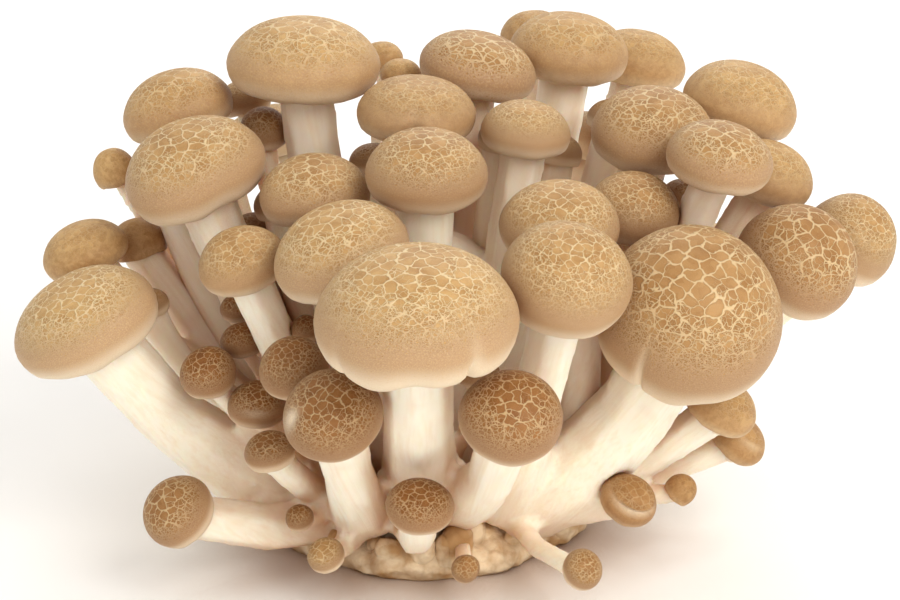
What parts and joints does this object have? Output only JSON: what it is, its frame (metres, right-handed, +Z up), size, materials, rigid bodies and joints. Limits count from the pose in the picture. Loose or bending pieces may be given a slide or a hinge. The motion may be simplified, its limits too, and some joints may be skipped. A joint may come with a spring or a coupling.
{
  "type": "beech mushroom cluster",
  "caption": "Clump of brown beech mushrooms: domed caps with a pale net marking on white stems that grow together from a cut mycelium foot.",
  "frame": {"origin": "middle of the foot's flat cut face, which the clump stands on", "axes": "+Z up out of the cut face, +X to the right as seen from the front, and the front of the clump faces -Y"},
  "size_m": [0.1199, 0.1125, 0.0698],
  "materials": {
    "cap_skin": "smooth matte skin, brown with a raised paler net",
    "stem_flesh": "matte, finely fibrous",
    "foot_mycelium": "rough, crumbly"
  },
  "bodies": {
    "root": {"foot": "foot_mycelium", "stems": "stem_flesh", "cap_front_1": "cap_skin", "cap_front_2": "cap_skin", "cap_front_3": "cap_skin", "cap_front_4": "cap_skin", "cap_front_5": "cap_skin", "cap_front_6": "cap_skin", "cap_front_7": "cap_skin", "cap_front_8": "cap_skin", "cap_front_9": "cap_skin", "cap_front_10": "cap_skin", "cap_front_11": "cap_skin", "cap_crown_1": "cap_skin", "cap_crown_2": "cap_skin", "cap_crown_3": "cap_skin", "cap_crown_4": "cap_skin", "cap_crown_5": "cap_skin", "cap_crown_6": "cap_skin", "cap_crown_7": "cap_skin", "cap_crown_8": "cap_skin", "cap_crown_9": "cap_skin", "cap_crown_10": "cap_skin", "cap_crown_11": "cap_skin", "cap_crown_12": "cap_skin", "cap_left_1": "cap_skin", "cap_left_2": "cap_skin", "cap_left_3": "cap_skin", "cap_left_4": "cap_skin", "cap_left_5": "cap_skin", "cap_left_6": "cap_skin", "cap_left_7": "cap_skin", "cap_left_8": "cap_skin", "cap_right_1": "cap_skin", "cap_right_2": "cap_skin", "cap_right_3": "cap_skin", "cap_right_4": "cap_skin", "cap_right_5": "cap_skin", "cap_right_6": "cap_skin", "cap_right_7": "cap_skin", "cap_right_8": "cap_skin", "cap_right_9": "cap_skin", "cap_low_1": "cap_skin", "cap_low_2": "cap_skin", "cap_low_3": "cap_skin", "cap_low_4": "cap_skin", "cap_low_5": "cap_skin", "cap_low_6": "cap_skin", "cap_low_7": "cap_skin", "cap_low_8": "cap_skin", "cap_low_9": "cap_skin", "cap_low_10": "cap_skin", "cap_low_11": "cap_skin", "cap_low_12": "cap_skin", "cap_back_1": "cap_skin", "cap_back_2": "cap_skin", "cap_back_3": "cap_skin", "cap_back_4": "cap_skin", "cap_back_5": "cap_skin", "cap_back_6": "cap_skin"}
  },
  "joints": []
}
